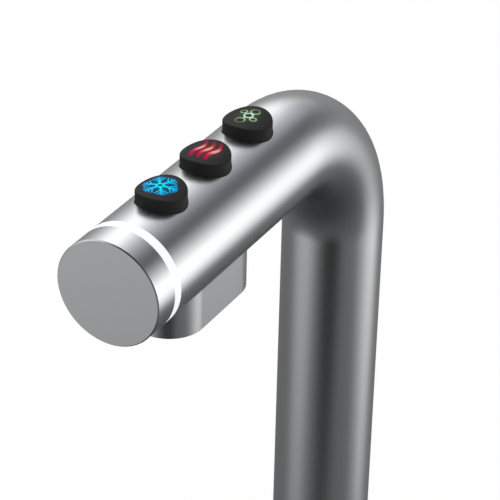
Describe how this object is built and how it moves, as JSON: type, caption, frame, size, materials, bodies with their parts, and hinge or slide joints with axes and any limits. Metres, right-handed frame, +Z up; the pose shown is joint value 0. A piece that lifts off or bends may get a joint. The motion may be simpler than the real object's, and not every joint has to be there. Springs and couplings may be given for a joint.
{
  "type": "three way filtered water tap",
  "caption": "Bent-tube kitchen tap with a lit ring near its capped end, sprung round buttons on top and an outlet block below, for chilled, hot and sparkling water.",
  "frame": {"origin": "centre of the base ring's underside, on the worktop", "axes": "+Z up along the column, -Y out along the arm to the capped end, +X to the right seen from the cap's side"},
  "size_m": [0.058, 0.2335, 0.4575],
  "materials": {
    "satin_steel": "satin brushed stainless steel",
    "ring_white": "translucent white light guide, lit from inside",
    "button_black": "matte black",
    "clear_plastic": "clear",
    "spring_steel": "bright spring wire",
    "seal_rubber": "black nitrile",
    "carrier_grey": "moulded, glass filled",
    "manifold_ivory": "machined acetal",
    "board_green": "solder mask",
    "lamp_yellow": "small lamp",
    "flex_amber": "polyimide strip",
    "screw_steel": "zinc plated",
    "switch_metal": "pressed shell",
    "tube_cold": "food grade tube",
    "tube_hot": "food grade tube",
    "tube_sparkling": "food grade tube",
    "loom_grey": "sleeved loom",
    "plug_white": "moulded",
    "brass": "machined",
    "insert_white": "moulded"
  },
  "bodies": {
    "tap": {"body_tube": "satin_steel", "outlet_housing": "satin_steel", "end_cap": "satin_steel", "light_ring": "ring_white", "ring_lamp_board": "board_green", "ring_lamps": "lamp_yellow", "cap_socket": "carrier_grey", "cap_seal": "seal_rubber", "cap_set_screw": "screw_steel", "ring_flex": "flex_amber", "spring_cold": "spring_steel", "spring_hot": "spring_steel", "spring_sparkling": "spring_steel", "button_seals": "seal_rubber", "button_carrier": "carrier_grey", "switch_bodies": "switch_metal", "icon_lamps": "lamp_yellow", "control_board": "board_green", "board_header": "plug_white", "chassis_tray": "carrier_grey", "chassis_screws": "screw_steel", "tray_screws": "screw_steel", "outlet_manifold": "manifold_ivory", "outlet_plate": "carrier_grey", "plate_screws": "screw_steel", "nozzle_cold": "screw_steel", "nozzle_hot": "screw_steel", "nozzle_sparkling": "screw_steel", "nozzle_seals": "seal_rubber", "flow_inserts": "insert_white", "supply_tube_cold": "tube_cold", "supply_tube_hot": "tube_hot", "supply_tube_sparkling": "tube_sparkling", "supply_ferrules": "screw_steel", "wiring_loom": "loom_grey", "loom_plug": "plug_white", "loom_socket": "carrier_grey", "socket_pins": "brass", "base_ring": "satin_steel", "base_gasket": "seal_rubber", "base_set_screw": "screw_steel", "threaded_shank": "screw_steel", "tail_plug": "carrier_grey", "inlet_stem_cold": "brass", "inlet_stem_hot": "brass", "inlet_stem_sparkling": "brass", "clamp_rubber": "seal_rubber", "clamp_washer": "screw_steel", "fixing_nut": "brass"},
    "cold_button": {"button_cold": "button_black", "light_guide_cold": "clear_plastic", "plunger_cold": "carrier_grey"},
    "hot_button": {"button_hot": "button_black", "light_guide_hot": "clear_plastic", "plunger_hot": "carrier_grey"},
    "sparkling_button": {"button_sparkling": "button_black", "light_guide_sparkling": "clear_plastic", "plunger_sparkling": "carrier_grey"}
  },
  "joints": [
    {"name": "cold_press", "type": "slide", "parent": "tap", "child": "cold_button", "axis": [0, 0, -1], "range_m": [0, 0.0015], "stiffness_N_per_m": 400, "springref_m": -0.003, "deforming": ["spring_cold"]},
    {"name": "hot_press", "type": "slide", "parent": "tap", "child": "hot_button", "axis": [0, 0, -1], "range_m": [0, 0.0015], "stiffness_N_per_m": 400, "springref_m": -0.003, "deforming": ["spring_hot"]},
    {"name": "sparkling_press", "type": "slide", "parent": "tap", "child": "sparkling_button", "axis": [0, 0, -1], "range_m": [0, 0.0015], "stiffness_N_per_m": 400, "springref_m": -0.003, "deforming": ["spring_sparkling"]}
  ]
}
